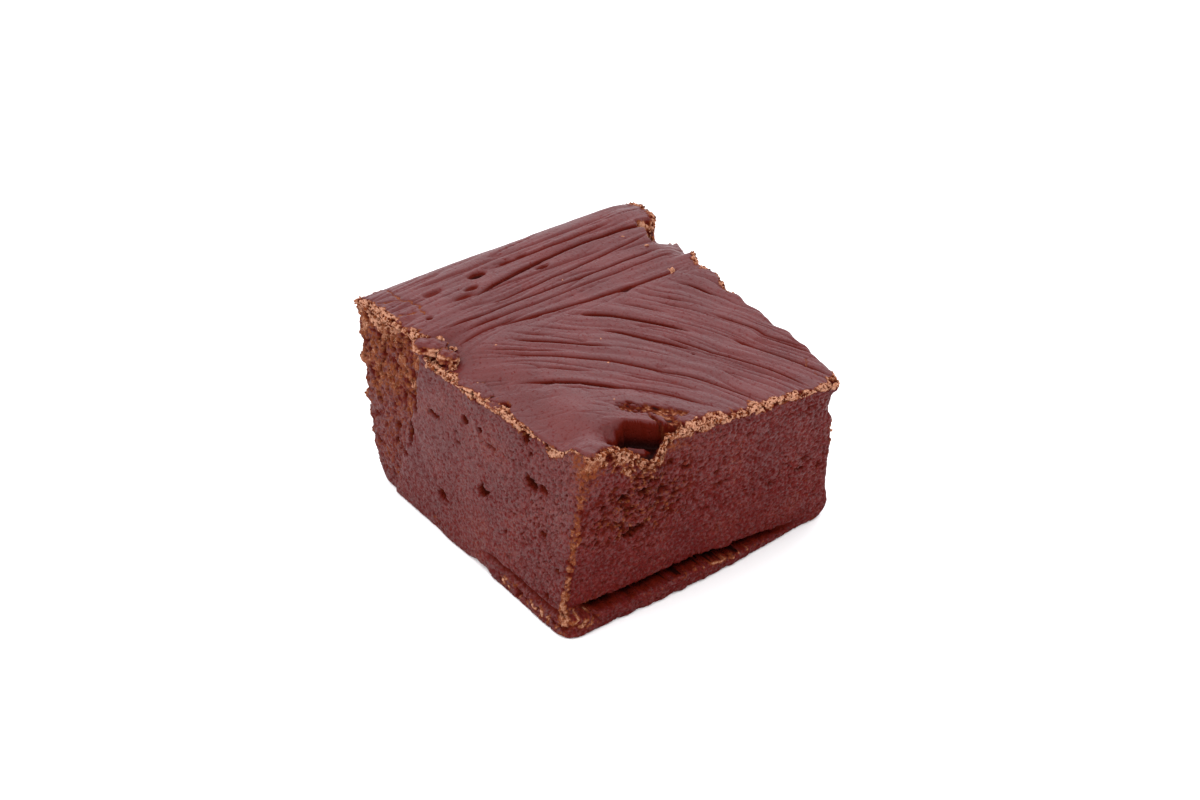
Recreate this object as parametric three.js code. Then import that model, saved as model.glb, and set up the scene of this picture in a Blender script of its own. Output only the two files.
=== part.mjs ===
// A square of chocolate fudge, cut by hand from a slab: one solid.
//
// The block stands on a flat base at z = 0. Its top is the slab's trowelled skin, combed with straight
// strokes along -X and with arcs round the front right corner. The front (-Y) and right (+X) faces are
// knife cuts, each with a thin lip dragged out at the floor. The left (-X) and back (+Y) faces turn under
// in a round foot. Square coordinates (a, b) run from -1 to 1 across the block, a along X and b along Y.
import * as THREE from "three";

// Driving dimensions, in millimetres.
const TOP_CORNERS = {
  frontLeft: [-24.8, -22.8, 28.3],
  frontRight: [24.2, -19.9, 26.4],
  backRight: [25.7, 20.4, 23.3],
  backLeft: [-23.5, 23.8, 29.1],
};
const BASE_CORNERS = {
  frontLeft: [-23.1, -21.2],
  frontRight: [22.1, -23.5],
  backRight: [22.0, 22.4],
  backLeft: [-21.0, 21.8],
};
const HALF_SIDE = 22.5; // half of the block's mean side, which turns millimetres into (a, b)
const CORNER_SHARPNESS = 22; // the power of the superellipse that rounds the upright edges
const LEFT_FOOT_RADIUS = 3.4;
const BACK_FOOT_RADIUS = 3.2;
const CUT_EDGE_RADIUS = 0.5; // where the two cut faces meet the floor
const CORNER_START = 0.93; // the upright edges round off from here to 1, in (a, b)
const FACE_POWER = 8; // keeps what a face is inset by to that face
const LEFT_ROLL = { radius: 2.4, drop: 1.1, inset: 0.55, height: 2.0 }; // the skin rolls over the left rim
const LIP = { reach: 2.3, height: 2.7 }; // along the right face's floor edge
const SLIT = { height: 3.05, depth: 0.9, halfWidth: 0.45 }; // a groove above the lip
const LIP_START = [-24.0, -20.0]; // the lip grows to its full reach between these two, along Y
const LIP_FADE = [-3.0, 12.0]; // and dies away between these
const FRONT_LIP_SHARE = 0.2; // the front face's lip, as a share of the right face's
const FRONT_LIP_ENDS = [2.0, 21.0]; // along X
const LIP_BLEND = 2.5;
const RIM_SAG = { depth: 2.3, from: -10.0, to: 19.5, blend: 2.5, width: 5.0 }; // the front rim dips, along X
const HOLLOW = { x: 23.2, y: -12.2, radiusX: 3.8, radiusY: 4.2, depth: 3.6 }; // at the right rim
const MOUND = { x: 15.5, y: -16.0, radiusX: 6.5, radiusY: 5.5, height: 1.0 }; // the smooth smear beside it
const BACK_DENT = { depth: 1.3, from: -10.0, to: 10.0, blend: 5.0 }; // the back rim bows in, along X
const BITE = { x: -13.2, halfWidth: 3.2, depth: 2.3, height: 4.5, drop: 1.8 }; // broken out of the back rim
const RIM_PULL = 4; // the power by which a drawn-in rim's effect dies away towards the middle
const STRAIGHT_STROKES = { pitch: 2.9, height: 0.42, edge: -5.0 }; // the strokes lie left of this X
const ARC_STROKES = {
  pitch: 3.1,
  height: 0.5,
  centre: [24.0, -20.0],
  inner: 15.0, // no strokes nearer the centre than this
  fadeIn: 4.0, // and full ones this much further out
  flattening: 0.33, // right of flatFrom the arcs straighten towards the rim
  flatFrom: 12.0,
};
const STROKE_BLEND = 1.0; // half the width over which the straight strokes give way to the arcs
const STROKE_BOW = 0.8; // how far the straight strokes bow to the right at their ends
const CREASE_SHARPNESS = 0.7; // under 1, so that the strokes are round on top with sharp creases between

// Mesh resolution.
const TOP_CELLS = 46;
const SIDE_ROWS = [0, 0.6, 1.3, 1.9, 2.4, 2.7, 3.05, 3.5, 6, 10, 15, 20]; // heights; the rim ends each column
const INNER_RING_SHARE = 0.55;

const clamp01 = (v) => Math.min(1, Math.max(0, v));
const smoothStep = (from, to, v) => {
  const t = clamp01((v - from) / (to - from));
  return t * t * (3 - 2 * t);
};
const bell = (v) => Math.exp(-v * v);
const between = (v, from, to, blend) =>
  smoothStep(from - blend, from + blend, v) * (1 - smoothStep(to - blend, to + blend, v));

// Weighs the four corners' values of one coordinate at (a, b).
function bilinear(corners, axis, a, b) {
  const left = (1 - a) / 2;
  const front = (1 - b) / 2;
  return (
    corners.frontLeft[axis] * left * front +
    corners.frontRight[axis] * (1 - left) * front +
    corners.backRight[axis] * (1 - left) * (1 - front) +
    corners.backLeft[axis] * left * (1 - front)
  );
}

// Pulls the square's corners in along a superellipse, so that the upright edges are rounded.
function roundCorners(a, b) {
  const reach = Math.max(Math.abs(a), Math.abs(b));
  if (reach === 0) return [0, 0];
  const power = CORNER_SHARPNESS;
  const norm = (Math.abs(a / reach) ** power + Math.abs(b / reach) ** power) ** (1 / power);
  return [a / norm, b / norm];
}

// Rounded tops with a sharp crease at each whole number of the phase.
const combed = (phase) => Math.abs(Math.sin(Math.PI * phase)) ** CREASE_SHARPNESS;

// The trowel's strokes: straight along Y on the left, concentric arcs on the right, none on the smear.
function strokeHeight(x, y) {
  const { centre, inner, fadeIn } = ARC_STROKES;
  const flattening = ARC_STROKES.flattening * Math.max(0, x - ARC_STROKES.flatFrom);
  const radius = Math.hypot(x - centre[0], y - centre[1]) - flattening;
  const bowed = x - STROKE_BOW * (y / HALF_SIDE) ** 2;
  const { edge } = STRAIGHT_STROKES;
  const onLeft = 1 - smoothStep(edge - STROKE_BLEND, edge + STROKE_BLEND, x);
  const straight = STRAIGHT_STROKES.height * combed(bowed / STRAIGHT_STROKES.pitch);
  const arcs = ARC_STROKES.height * combed(radius / ARC_STROKES.pitch);
  const outside = smoothStep(inner, inner + fadeIn, radius);
  return onLeft * straight + (1 - onLeft) * arcs * outside;
}

const bump = ({ x, y, radiusX, radiusY }, atX, atY) =>
  bell((atX - x) / radiusX) * bell((atY - y) / radiusY);

// Height of the trowelled skin over (a, b).
function topHeight(a, b) {
  const x = bilinear(TOP_CORNERS, 0, a, b);
  const y = bilinear(TOP_CORNERS, 1, a, b);
  const fromFront = (b + 1) * HALF_SIDE;
  const fromBack = (1 - b) * HALF_SIDE;
  const fromLeft = (a + 1) * HALF_SIDE;
  const sagging = between(x, RIM_SAG.from, RIM_SAG.to, RIM_SAG.blend) * bell(fromFront / RIM_SAG.width);
  const roll = LEFT_ROLL.drop * bell(fromLeft / LEFT_ROLL.radius);
  const bitten = bell((x - BITE.x) / BITE.halfWidth) * bell(fromBack / BITE.depth);
  return (
    bilinear(TOP_CORNERS, 2, a, b) +
    strokeHeight(x, y) +
    MOUND.height * bump(MOUND, x, y) -
    HOLLOW.depth * bump(HOLLOW, x, y) -
    RIM_SAG.depth * sagging -
    roll -
    BITE.drop * bitten
  );
}

// How far a round edge of this radius stands back from its face, z above the floor.
function footInset(radius, z) {
  if (z >= radius) return 0;
  return radius - Math.sqrt(radius ** 2 - (radius - z) ** 2);
}

// The lip at the floor stands out in a quarter round, and the slit above it goes in.
function lipReach(z) {
  const lip = LIP.reach * Math.sqrt(Math.max(0, 1 - (z / LIP.height) ** 2));
  const slit = SLIT.depth * bell((z - SLIT.height) / SLIT.halfWidth);
  return lip - slit;
}

// A point of the cut and moulded sides, at (a, b) on the square's outline and z above the floor.
function sidePoint(a, b, z, rim) {
  const share = z / rim;
  const along = [0, 1].map(
    (axis) => bilinear(BASE_CORNERS, axis, a, b) * (1 - share) + bilinear(TOP_CORNERS, axis, a, b) * share,
  );
  const lipShare = smoothStep(...LIP_START, along[1]) * (1 - smoothStep(...LIP_FADE, along[1]));
  const rightFace = smoothStep(CORNER_START, 1, a) * lipShare;
  const frontFace = smoothStep(CORNER_START, 1, -b) * between(along[0], ...FRONT_LIP_ENDS, LIP_BLEND);
  const bitten = bell((along[0] - BITE.x) / BITE.halfWidth);
  const bite = BITE.depth * bitten * smoothStep(rim - BITE.height, rim, z);
  const roll = LEFT_ROLL.inset * smoothStep(rim - LEFT_ROLL.height, rim, z);
  const insetLeft = footInset(LEFT_FOOT_RADIUS, z) + roll;
  const dent = BACK_DENT.depth * share * between(along[0], BACK_DENT.from, BACK_DENT.to, BACK_DENT.blend);
  const insetBack = footInset(BACK_FOOT_RADIUS, z) + bite + dent;
  const insetRight = footInset(CUT_EDGE_RADIUS, z) - rightFace * lipReach(z);
  const insetFront = footInset(CUT_EDGE_RADIUS, z) - frontFace * FRONT_LIP_SHARE * lipReach(z);
  const x = along[0] + insetLeft * clamp01(-a) ** FACE_POWER - insetRight * clamp01(a) ** FACE_POWER;
  const y = along[1] + insetFront * clamp01(-b) ** FACE_POWER - insetBack * clamp01(b) ** FACE_POWER;
  return [x, y, z];
}

// The square's outline, anticlockwise from its front left corner, TOP_CELLS steps to a side.
function outline() {
  const corners = [
    [-1, -1],
    [1, -1],
    [1, 1],
    [-1, 1],
  ];
  return corners.flatMap(([a, b], side) => {
    const [nextA, nextB] = corners[(side + 1) % corners.length];
    return Array.from({ length: TOP_CELLS }, (_, step) => {
      const t = step / TOP_CELLS;
      return [a + (nextA - a) * t, b + (nextB - b) * t];
    });
  });
}

// Collects points and triangles, and turns them into an indexed geometry.
class SolidBuilder {
  points = [];
  triangles = [];

  add(point) {
    this.points.push(...point);
    return this.points.length / 3 - 1;
  }

  quad(a, b, c, d) {
    this.triangles.push(a, b, c, a, c, d);
  }

  geometry() {
    const made = new THREE.BufferGeometry();
    made.setAttribute("position", new THREE.Float32BufferAttribute(this.points, 3));
    made.setIndex(this.triangles);
    made.computeVertexNormals();
    return made;
  }
}

// The index of each outline point among the top's grid vertices.
function rimOf(grid) {
  const last = TOP_CELLS;
  const steps = Array.from({ length: last }, (_, k) => k);
  return [
    ...steps.map((k) => grid[k][0]),
    ...steps.map((k) => grid[last][k]),
    ...steps.map((k) => grid[last - k][last]),
    ...steps.map((k) => grid[0][last - k]),
  ];
}

// A point of the skin over the square's (a, b). The rim lies on the sides, and draws the skin in with it.
function skinPoint(a, b) {
  const reach = Math.max(Math.abs(a), Math.abs(b)) || 1;
  const inner = roundCorners(a, b);
  const edge = roundCorners(a / reach, b / reach);
  const rimHeight = topHeight(...edge);
  const rim = sidePoint(...edge, rimHeight, rimHeight);
  const [x, y] = [0, 1].map((axis) => {
    const drawn = rim[axis] - bilinear(TOP_CORNERS, axis, ...edge);
    return bilinear(TOP_CORNERS, axis, ...inner) + drawn * reach ** RIM_PULL;
  });
  return [x, y, topHeight(...inner)];
}

function addTop(solid) {
  const grid = Array.from({ length: TOP_CELLS + 1 }, (_, i) =>
    Array.from({ length: TOP_CELLS + 1 }, (_, j) =>
      solid.add(skinPoint((2 * i) / TOP_CELLS - 1, (2 * j) / TOP_CELLS - 1)),
    ),
  );
  for (let i = 0; i < TOP_CELLS; i++)
    for (let j = 0; j < TOP_CELLS; j++)
      solid.quad(grid[i][j], grid[i + 1][j], grid[i + 1][j + 1], grid[i][j + 1]);
  return rimOf(grid);
}

// Joins two rings of the same length, the first one lower or further in.
function addBand(solid, lower, upper) {
  lower.forEach((_, k) => {
    const next = (k + 1) % lower.length;
    solid.quad(lower[k], lower[next], upper[next], upper[k]);
  });
}

function addSides(solid, rim) {
  const columns = outline().map(([a, b]) => roundCorners(a, b));
  const rings = SIDE_ROWS.map((z) => columns.map(([a, b]) => solid.add(sidePoint(a, b, z, topHeight(a, b)))));
  [...rings.slice(1), rim].forEach((upper, row) => addBand(solid, rings[row], upper));
  return rings[0];
}

function addBase(solid, outer) {
  const inner = outer.map((index) => {
    const [x, y] = solid.points.slice(3 * index, 3 * index + 2);
    return solid.add([x * INNER_RING_SHARE, y * INNER_RING_SHARE, 0]);
  });
  addBand(solid, inner, outer);
  const centre = solid.add([0, 0, 0]);
  inner.forEach((index, k) => solid.triangles.push(centre, inner[(k + 1) % inner.length], index));
}

function fudgeGeometry() {
  const solid = new SolidBuilder();
  const rim = addTop(solid);
  addBase(solid, addSides(solid, rim));
  return solid.geometry();
}

const fudgeMaterial = new THREE.MeshStandardMaterial({ color: 0x70403e, roughness: 0.5, metalness: 0 });
const fudge = new THREE.Mesh(fudgeGeometry(), fudgeMaterial);
fudge.name = "fudge";

// The origin is the centre of the bounding box's base.
fudge.geometry.computeBoundingBox();
const box = fudge.geometry.boundingBox;
fudge.position.set(-(box.min.x + box.max.x) / 2, -(box.min.y + box.max.y) / 2, -box.min.z);

const part = new THREE.Group();
part.add(fudge);
export default part;
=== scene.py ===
from itertools import combinations
import math

import bpy
import numpy as np
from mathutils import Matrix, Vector


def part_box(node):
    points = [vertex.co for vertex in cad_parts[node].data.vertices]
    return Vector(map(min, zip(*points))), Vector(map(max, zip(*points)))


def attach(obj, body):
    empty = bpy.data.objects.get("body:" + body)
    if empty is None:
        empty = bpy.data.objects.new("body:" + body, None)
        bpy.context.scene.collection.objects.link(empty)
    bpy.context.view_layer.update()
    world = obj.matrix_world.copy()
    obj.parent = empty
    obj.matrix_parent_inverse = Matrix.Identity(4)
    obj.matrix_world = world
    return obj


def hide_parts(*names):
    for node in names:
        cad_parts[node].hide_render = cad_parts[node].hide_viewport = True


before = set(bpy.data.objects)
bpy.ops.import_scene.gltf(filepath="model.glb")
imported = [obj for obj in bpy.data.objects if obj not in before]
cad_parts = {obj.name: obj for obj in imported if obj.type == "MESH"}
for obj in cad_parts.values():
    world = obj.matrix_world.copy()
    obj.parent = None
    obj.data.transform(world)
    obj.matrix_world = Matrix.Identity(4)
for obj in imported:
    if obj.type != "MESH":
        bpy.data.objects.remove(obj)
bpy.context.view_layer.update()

cadLow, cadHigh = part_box("fudge")

# Shapes are in millimetres, X to the right and Y to the back, and move into the frame at the end.
mm = 0.001


def held(v):
    # v, held between 0 and 1
    return np.clip(v, 0.0, 1.0)


def ramp(start, end, v):
    # 3t^2 - 2t^3, where t runs from 0 at start to 1 at end
    t = held((v - start) / (end - start))
    return t * t * (3 - 2 * t)


def bell(v):
    # e to the power of minus v squared
    return np.exp(-v * v)


def between(v, start, end, blend):
    # 1 from start to end, falling to 0 over a blend on either side of each
    return ramp(start - blend, start + blend, v) * (1 - ramp(end - blend, end + blend, v))


def mixed(low, high, share):
    # low and high, weighed by share
    return low * (1 - share) + high * share


def mixBits(cells, seed):
    # a scrambled whole number for each lattice cell: its indices times large primes, folded together
    x, y, z = np.moveaxis(cells, -1, 0)
    key = x * 73856093 ^ y * 19349663 ^ z * 83492791 ^ (seed + 1) * 2654435761
    key = (key ^ (key >> 13)) * 1274126177 & 0x7FFFFFFF
    return (key ^ (key >> 15)) & 0x7FFFFFFF


directionTable = np.random.default_rng(11).normal(size=(256, 3))
directionTable /= np.linalg.norm(directionTable, axis=1, keepdims=True)
jitterTable = np.random.default_rng(12).random((1024, 3))


def noise(points, seed=0):
    # about -1 to 1: at each corner of a cell, a random direction dotted with the way from there, weighed by
    # 6t^5 - 15t^4 + 10t^3 along each axis
    cell = np.floor(points).astype(np.int64)
    inside = points - cell
    fade = inside ** 3 * (inside * (inside * 6 - 15) + 10)
    total = np.zeros(points.shape[:-1])
    for corner in np.ndindex(2, 2, 2):
        pull = directionTable[mixBits(cell + corner, seed) & 255]
        weight = np.prod(np.where(corner, fade, 1 - fade), axis=-1)
        total += weight * np.sum(pull * (inside - corner), axis=-1)
    return total * 1.6


def nearestSeed(points, seed=0):
    # distance to the nearest of points strewn one to a cell, and how much further the next one is
    cell = np.floor(points).astype(np.int64)
    inside = points - cell
    first = np.full(points.shape[:-1], 9.0)
    second = first.copy()
    for step in np.ndindex(3, 3, 3):
        offset = np.array(step) - 1
        strewn = offset + jitterTable[mixBits(cell + offset, seed) & 1023]
        distance = np.sqrt(np.sum((strewn - inside) ** 2, axis=-1))
        second = np.minimum(second, np.maximum(first, distance))
        first = np.minimum(first, distance)
    return first, second - first


def flat(x, y, z=0):
    # stacks coordinates into points
    return np.stack(np.broadcast_arrays(x, y, z), axis=-1)


def wave(seed, x, y=0, z=0):
    # the noise at the points (x, y, z)
    return noise(flat(x, y, z), seed)


def grains(place, *layers):
    # a sum of noises, each with its size, height and seed
    return sum(height * noise(place / size, seed) for size, height, seed in layers)


block = {
    # corners: front left, front right, back right, back left
    "topCorners": ((-24.8, -22.8, 28.3), (24.2, -19.9, 26.4), (25.7, 20.4, 23.3), (-23.5, 23.8, 29.1)),
    "baseCorners": ((-23.1, -21.2, 0), (22.1, -23.5, 0), (22, 22.4, 0), (-21, 21.8, 0)),
    "halfSide": 22.5,
    "cornerSharpness": 34,  # power of the superellipse that rounds the upright edges
    "leftFoot": 3.4,
    "backFoot": 3.2,
    "backWaist": 0.8,
    "cutFoot": 0.45,
    "facePower": 8,  # keeps what a face is inset by to that face
    "rimRound": (0.35, 0.35, 0.6, 1.5),  # radius of the rim's edge at the front, right, back and left
    "rimPull": 4,
    "lift": 0.28,  # of the whole skin
}

lip = {
    # along the right face's floor edge: reach and height at each Y
    "y": (-24, -21.5, -18, -1, 1, 4, 5, 9, 12, 17),
    "reach": (1.3, 1.9, 1.8, 1.65, 1.5, 1.3, 1.2, 0.9, 0.6, 0),
    "height": (3.2, 3.1, 2.7, 2.6, 2.3, 1.6, 1.9, 1.6, 1.1, 0.7),
    "boxiness": 7,
    "slitDepth": 2.1,
    "slitFrom": 0.05, "slitTo": 0.78, "slitBlend": 0.12,  # above the lip's height
    "gutter": 0.65,  # how far its floor falls behind the lip's crest
    "opensFrom": -21, "opensTo": -17,  # the slit and gutter start short of the front corner
}

rim = {
    "sag": 2.3, "sagFrom": -9.5, "sagTo": 19.8, "sagWidth": 5,  # the front rim dips, along X
    "leftDrop": 0.5, "leftWidth": 2.2,
    "backDent": 1.3,
    "backDip": 1.7, "dipFrom": -13.4, "dipTo": -8.2,  # beside the bite
    "backLeftDrop": 0.8,
}

hollow = {
    "x": 19.1, "y": -11.6,  # where its back wall and the smear's flank meet
    "wallTurn": 54, "flankTurn": -57.5,  # the ways they run from there, in degrees about Z
    "depth": 3.5,
    "fold": 0.9, "foldFrom": 1.4, "foldTo": 4.2, "foldAway": 1.8,
}
mound = {"x": 15.5, "y": -16.5, "radiusX": 6, "radiusY": 5, "height": 0.7}
bite = {"from": -16.95, "to": -13, "edge": 19.5, "drop": 3.1, "inset": 1.6}
skinShift = (0.75, -0.55)  # the marks on the skin lie this far over from the places listed for them


def bilinear(corners, a, b):
    # the four corners weighed by (1 +- a)/2 times (1 +- b)/2
    left, front = (1 - a) / 2, (1 - b) / 2
    right, back = 1 - left, 1 - front
    return np.stack([left * front, right * front, right * back, left * back], axis=-1) @ np.array(corners)


def squareReach(a, b):
    # the larger of the sizes of a and b, which is 1 on the square's outline
    return np.maximum(np.maximum(np.abs(a), np.abs(b)), 1e-9)


def signedPower(v, power):
    # the power of v's size, with the sign of v
    return np.sign(v) * np.abs(v) ** power


def fromCorner(a, b, cornerA, cornerB):
    # distance from one of the square's corners
    return np.hypot(a - cornerA, b - cornerB) * block["halfSide"]


def roundCorners(a, b):
    # a and b over their superellipse norm, which draws the square's corners in
    power = block["cornerSharpness"]
    reach = squareReach(a, b)
    norm = (np.abs(a / reach) ** power + np.abs(b / reach) ** power) ** (1 / power)
    return a / norm, b / norm


def outwardWeights(a, b):
    # the superellipse's unit normal (nx, ny), and its share in the front, right, back and left, squared
    power = block["cornerSharpness"] - 1
    reach = squareReach(a, b)
    nx, ny = signedPower(a / reach, power), signedPower(b / reach, power)
    size = np.hypot(nx, ny)
    nx, ny = nx / size, ny / size
    return nx, ny, [np.maximum(side, 0) ** 2 for side in (-ny, nx, ny, -nx)]


def footInset(radius, z):
    # how far a quarter round of this radius stands back, z above the floor
    above = np.minimum(z, radius)
    return radius - np.sqrt(np.maximum(radius ** 2 - (radius - above) ** 2, 0))


def lipAt(y):
    # the lip's reach and height at each Y
    return np.interp(y, lip["y"], lip["reach"]), np.interp(y, lip["y"], lip["height"])


def slitOpen(reach, y):
    # how open the slit over the lip is: less where the lip is small, and closed at the front corner
    return held(reach / 1.1) * ramp(lip["opensFrom"], lip["opensTo"], y)


def lipReach(reach, height, z, y):
    # a quarter superellipse at the floor, less a slit just above it
    power = lip["boxiness"]
    out = reach * np.maximum(1 - (z / height) ** power, 0) ** (1 / power)
    slit = slitOpen(reach, y) * between(z - height, lip["slitFrom"], lip["slitTo"], lip["slitBlend"])
    return out - lip["slitDepth"] * slit


def sidePlace(a, b, z, top):
    # base and top outlines mixed by z over top, less the feet, waist, bite and dent, plus the lip
    share = z / top
    base, upper = (bilinear(block[corners], a, b) for corners in ("baseCorners", "topCorners"))
    along = mixed(base, upper, share[..., None])
    x, y = along[..., 0], along[..., 1]
    reach, height = lipAt(y)
    reach = reach * ramp(0.93, 1, a)
    wanderUp = 0.22 * wave(5, y / 1.1) + 0.15 * wave(8, y / 0.55, z / 0.7)
    wanderOut = 0.14 * wave(6, y / 1.8)
    right = lipReach(reach * (1 + wanderOut), height + wanderUp, z, y)
    dented = between(x, -10, 10, 5) * share + 0.5 * share * wave(7, x / 3.2)
    bitten = between(x, bite["from"], bite["to"], 1.2) * ramp(top - 5, top - 1, z)
    back = footInset(block["backFoot"], z) + rim["backDent"] * dented + bite["inset"] * bitten
    back = back + block["backWaist"] * ramp(13, 22, x) * between(z, 4, top - 3.6, 2.5)
    left = footInset(block["leftFoot"], z)
    frontFoot = block["cutFoot"] + 0.9 * between(x, 1.5, 6, 1)
    power = block["facePower"]
    x = x + left * held(-a) ** power - (footInset(block["cutFoot"], z) - right) * held(a) ** power
    y = y + footInset(frontFoot, z) * held(-b) ** power - back * held(b) ** power
    gutter = lip["gutter"] * slitOpen(reach, along[..., 1]) * bell((z - height - wanderUp - 0.28) / 0.22)
    return flat(x, y, z - gutter)


# The trowel's strokes on the skin. A straight groove runs along Y at x + slope y + bow y^2.
straightStrokes = {
    "edge": -4.6,  # they lie left of this X
    "ridges": ((2.7, 26, 0.1), (1.15, 18, 0.06), (0.34, 7, 0.014)),  # spacing, length and height
    "grooves": (
        # x, slope, bow, from Y, to Y, depth, half width
        (-17, -0.14, 0.0068, -8, 21, 0.62, 0.34), (-19.6, 0, 0, -3, 16, 0.3, 0.3),
        (-13.1, -0.06, -0.001, -8, 19, 0.32, 0.24), (-11.2, 0, 0, -16, 18.5, 0.38, 0.22),
        (-9.5, 0, 0, -15, 20.5, 0.26, 0.22), (-9.5, 0, 0, -14, -8, 0.35, 0.28),
        (-6.5, 0.09, -0.003, -10, 18, 0.4, 0.28), (-8.1, 0, 0, -17, -7, 0.28, 0.26),
        (-15.3, 0.03, 0, -13, 12, 0.2, 0.22), (-21.2, 0, 0, -14, 18, 0.18, 0.3),
        (-3.1, 0.02, 0, 11, 18, 0.22, 0.24),
    ),
}

# The arcs run round a centre by the front right corner, from 0 degrees along -X to 90 along Y.
arcStrokes = {
    "centre": (24, -20),
    "flattening": 0.33, "flatFrom": 12,
    "inner": 16.5,  # the smear covers what is nearer
    "straightBelow": 40,  # nearer the front than this bearing they run straight on
    "ridges": ((2.9, 24, 0.11), (1.25, 15, 0.055), (0.36, 6, 0.012)),
    "grooves": (
        # radius, from angle, to angle, depth, half width
        (18.5, 13, 80, 0.34, 0.34), (18.3, 18, 49, 0.75, 0.46), (24.3, 14, 87, 0.34, 0.3),
        (24.3, 28, 62, 0.34, 0.34), (27.4, 19, 41, 0.5, 0.3), (29, 15, 27, 0.26, 0.24),
        (30.9, 42, 62, 0.55, 0.3), (31.9, 57, 88, 0.38, 0.3), (31.9, 67, 79, 0.34, 0.3),
        (34.7, 36, 58, 0.7, 0.38), (36.2, 69, 88, 0.32, 0.26), (36.4, 69, 73, 0.4, 0.32),
        (39.7, 52, 56, 0.34, 0.26), (41, 51, 55, 0.34, 0.26), (45.2, 54, 60, 0.5, 0.34),
        (40.2, 62, 80, 0.3, 0.26), (39.6, 72, 82, 0.34, 0.3), (37.7, 44, 52, 0.24, 0.24),
        (16.8, 28, 44, 0.3, 0.28), (25.3, 10, 28, 0.26, 0.24), (21.3, 22, 36, 0.24, 0.24),
        (21.6, 50, 74, 0.2, 0.24), (33.3, 18, 30, 0.22, 0.22),
    ),
}

# small dents in the skin: x, y, half width, half length, depth
dents = (
    (-19.7, 1.5, 0.28, 1.1, 0.4), (-19.7, -1, 0.28, 1.2, 0.4), (-19.3, -6, 0.55, 1.2, 0.65),
    (-17, -8.6, 0.45, 1.1, 0.4), (-5.8, 9.1, 0.36, 1.6, 0.55), (-16, 2.5, 0.32, 1.1, 0.4),
    (-15.9, -10.6, 0.42, 1.6, 0.3), (-19, -13.4, 0.45, 1.6, 0.26), (-7, -5.2, 0.28, 1.6, 0.34),
    (-14.2, -17.2, 0.35, 0.5, 0.36), (10.8, 7.1, 0.18, 0.2, 0.35),
)

# a torn patch of skin at the front right, and cracks at the front left: x, y of each line's ends, half width
tears = (
    (16.2, -8.4, 18.2, -5.9, 0.95), (17.6, -6.3, 20.8, -3.2, 0.9), (18.4, -5.6, 23.2, -4.6, 0.75),
    (19.6, -6.8, 22.4, -6.4, 0.35),
)
cracks = (
    (-23.5, -17.7, -20, -17.9, 0.14), (-20, -17.9, -19, -16.7, 0.16), (-19, -16.7, -15.2, -17, 0.16),
    (-16.2, -17.6, -17.2, -20.4, 0.2), (-20.2, -18, -21, -20.6, 0.1), (-0.3, -18.6, 0.4, -22.5, 0.28),
    (18.8, 19.9, 19.9, 18.4, 0.09), (19.9, 18.4, 22.6, 18.6, 0.09),
)


def fromLine(x, y, line):
    # distance to the stretch between the line's two ends, over its half width
    startX, startY, endX, endY, halfWidth = line
    alongX, alongY = endX - startX, endY - startY
    share = held(((x - startX) * alongX + (y - startY) * alongY) / (alongX ** 2 + alongY ** 2))
    return np.hypot(x - startX - share * alongX, y - startY - share * alongY) / halfWidth


def ridges(across, along, layers, seed):
    # strokes side by side: the size of a stretched noise to the power 0.7, round on top and creased where it
    # passes 0; with a fine cut in some creases of the middle layer
    height = 0
    for layer, (spacing, length, size) in enumerate(layers):
        swell = wave(seed + layer, across / spacing, along / length, 3.7 * layer)
        height = height + size * (np.abs(swell) * 2.2) ** 0.7
        if layer == 1:
            cut = 0.15 * bell(swell / 0.07) * ramp(-0.3, 0.3, wave(seed + 9, across / 3, along / 9))
    return height, cut


def groove(away, along, start, end, blend, depth, width):
    # a bell across it, faded at both ends and narrower where it fades, though no finer than the grid
    fade = between(along, start, end, blend)
    return depth * bell(away / np.maximum(0.82 * width * (0.45 + 0.55 * fade), 0.15)) * fade


def arcPlace(x, y):
    # distance from the arcs' centre less the flattening, and the angle round it in degrees; below one
    # bearing, the distance is along that bearing, so that the arcs run on straight
    centreX, centreY = arcStrokes["centre"]
    angle = np.degrees(np.arctan2(y - centreY, centreX - x))
    below = np.radians(np.clip(arcStrokes["straightBelow"] - angle, 0, 70))
    radius = np.hypot(x - centreX, y - centreY) * np.cos(below)
    return radius - arcStrokes["flattening"] * np.maximum(0, x - arcStrokes["flatFrom"]), angle


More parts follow.
